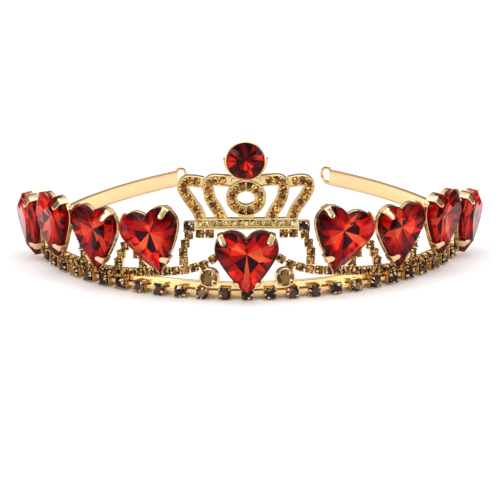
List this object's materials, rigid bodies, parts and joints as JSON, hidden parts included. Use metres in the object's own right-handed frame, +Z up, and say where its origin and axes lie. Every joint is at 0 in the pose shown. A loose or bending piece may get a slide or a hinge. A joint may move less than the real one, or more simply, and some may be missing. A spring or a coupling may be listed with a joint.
{
  "type": "tiara",
  "caption": "Rigid gold tiara: open headband with a stone chain, claw-set heart crystals, a pierced crown plate and a round finial.",
  "frame": {"origin": "on the plane of the headband's lower edge, under the middle of the whole part", "axes": "+Z up, -Y towards the front of the head, +X towards the wearer's left"},
  "size_m": [0.1334, 0.1314, 0.046],
  "materials": {
    "polished_band": "mirror-polished light gold plate",
    "bright_gold": "bright gold plate",
    "cast_gold": "pale gold plate over a cast face",
    "red_crystal": "cut, foil-backed red crystal",
    "wine_crystal": "cut, foil-backed dark wine crystal",
    "amber_stone": "small cut amber stones",
    "champagne_stone": "small cut champagne stones",
    "smoky_stone": "small cut smoky stones",
    "topaz_stone": "small cut smoky topaz stones"
  },
  "bodies": {
    "root": {"headband": "polished_band", "left_end_loop": "bright_gold", "right_end_loop": "bright_gold", "base_chain_cups": "bright_gold", "base_chain_links": "bright_gold", "base_chain_stones": "smoky_stone", "left_rail_chain": "bright_gold", "right_rail_chain": "bright_gold", "left_rail_stones": "topaz_stone", "right_rail_stones": "topaz_stone", "left_column_chain": "bright_gold", "right_column_chain": "bright_gold", "left_column_stones": "topaz_stone", "right_column_stones": "topaz_stone", "left_corner_cup": "bright_gold", "right_corner_cup": "bright_gold", "left_corner_stone": "smoky_stone", "right_corner_stone": "smoky_stone", "left_bridge_chain": "bright_gold", "right_bridge_chain": "bright_gold", "left_bridge_stones": "topaz_stone", "right_bridge_stones": "topaz_stone", "left_leg_chains": "bright_gold", "right_leg_chains": "bright_gold", "left_leg_stones": "topaz_stone", "right_leg_stones": "topaz_stone", "left_drop_cup": "bright_gold", "right_drop_cup": "bright_gold", "left_drop_stone": "champagne_stone", "right_drop_stone": "champagne_stone", "centre_heart_setting": "bright_gold", "left_heart_1_setting": "bright_gold", "left_heart_2_setting": "bright_gold", "left_heart_3_setting": "bright_gold", "left_heart_4_setting": "bright_gold", "right_heart_1_setting": "bright_gold", "right_heart_2_setting": "bright_gold", "right_heart_3_setting": "bright_gold", "right_heart_4_setting": "bright_gold", "centre_heart_crystal": "red_crystal", "left_heart_1_crystal": "red_crystal", "left_heart_2_crystal": "red_crystal", "left_heart_3_crystal": "red_crystal", "left_heart_4_crystal": "red_crystal", "right_heart_1_crystal": "red_crystal", "right_heart_2_crystal": "red_crystal", "right_heart_3_crystal": "red_crystal", "right_heart_4_crystal": "red_crystal", "crown_plate": "cast_gold", "crown_plate_stones": "amber_stone", "crown_bar_stones": "champagne_stone", "finial_cradle": "bright_gold", "finial_bezel": "bright_gold", "finial_crystal": "wine_crystal"}
  },
  "joints": []
}
